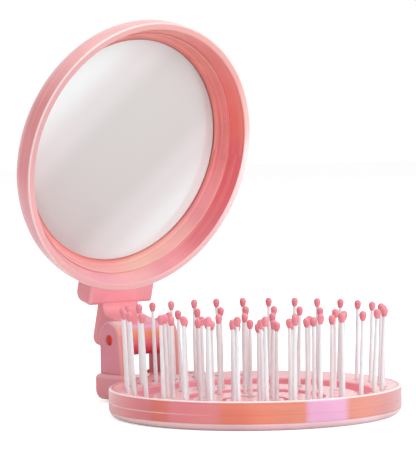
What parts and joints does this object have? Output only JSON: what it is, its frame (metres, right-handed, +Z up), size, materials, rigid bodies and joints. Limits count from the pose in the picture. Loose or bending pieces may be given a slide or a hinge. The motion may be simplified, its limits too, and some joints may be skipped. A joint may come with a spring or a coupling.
{
  "type": "folding hairbrush with mirror",
  "caption": "Pocket hairbrush that folds: a round dished brush half with ball-tipped pins and a round mirror half with a deep rim, joined by a pinned hinge.",
  "frame": {"origin": "centre of the brush half's flat resting face, on the surface that it rests on", "axes": "+Z up; +X along the hinge axis; +Y from the brush half's centre towards the hinge, so the mirror half stands at +Y and its mirror faces -Y"},
  "size_m": [0.08, 0.1078, 0.1096],
  "materials": {
    "shell_plastic": "pearlescent pink, polished",
    "yoke_plastic": "pearlescent dusky pink, polished",
    "hinge_pin_plastic": "red, smooth",
    "pin_nylon": "translucent whitish nylon",
    "ball_plastic": "rose, smooth",
    "mirror_glass": "silvered glass",
    "mirror_pad": "soft adhesive foam"
  },
  "bodies": {
    "base": {"base_shell": "shell_plastic", "bottom_cover": "shell_plastic", "pin_backing": "pin_nylon", "outer_pin_strip": "pin_nylon", "middle_pin_strip": "pin_nylon", "inner_pin_strip": "pin_nylon", "centre_pin_strip": "pin_nylon", "outer_ball_tips": "ball_plastic", "middle_ball_tips": "ball_plastic", "inner_ball_tips": "ball_plastic", "centre_ball_tips": "ball_plastic", "hinge_yoke": "yoke_plastic", "hinge_pin": "hinge_pin_plastic"},
    "lid": {"lid_shell": "shell_plastic", "mirror_bezel": "shell_plastic", "mirror_glass": "mirror_glass", "mirror_pad": "mirror_pad"}
  },
  "joints": [
    {"name": "lid_hinge", "type": "hinge", "parent": "base", "child": "lid", "pos_m": [0, 0.0512, 0.0178], "axis": [1, 0, 0], "range_deg": [-52, 75]}
  ]
}
